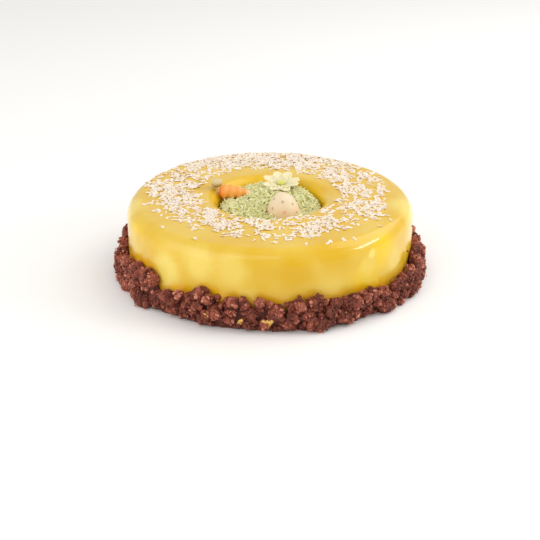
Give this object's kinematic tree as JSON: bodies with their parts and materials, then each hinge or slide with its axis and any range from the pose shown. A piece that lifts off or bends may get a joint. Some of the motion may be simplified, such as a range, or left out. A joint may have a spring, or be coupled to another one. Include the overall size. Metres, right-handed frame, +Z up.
{
  "type": "entremet",
  "caption": "Round yellow glazed mousse cake with a coconut ring, a chocolate crumble collar, and a well that holds green coconut, a sugar carrot, an egg and a daisy.",
  "frame": {"origin": "middle of the cake's flat underside, on the surface it stands on", "axes": "+Z up; the front, where the egg stands nearest to the rim, faces -Y; +X is to the right seen from the front"},
  "size_m": [0.222, 0.2207, 0.0599],
  "materials": {
    "yellow_glaze": "gloss",
    "chocolate_crumble": "matte",
    "green_coconut": "matte",
    "orange_sugar": "satin",
    "pale_sugar": "satin",
    "cream_sugar": "satin",
    "white_sugar": "matte",
    "yellow_green_sugar": "matte",
    "white_coconut": "matte"
  },
  "bodies": {
    "root": {"glazed_cake": "yellow_glaze", "crumble_collar": "chocolate_crumble", "green_coconut": "green_coconut", "carrot_root": "orange_sugar", "carrot_stalk": "pale_sugar", "speckled_egg": "cream_sugar", "daisy_petals": "white_sugar", "daisy_eye": "yellow_green_sugar"}
  },
  "joints": []
}
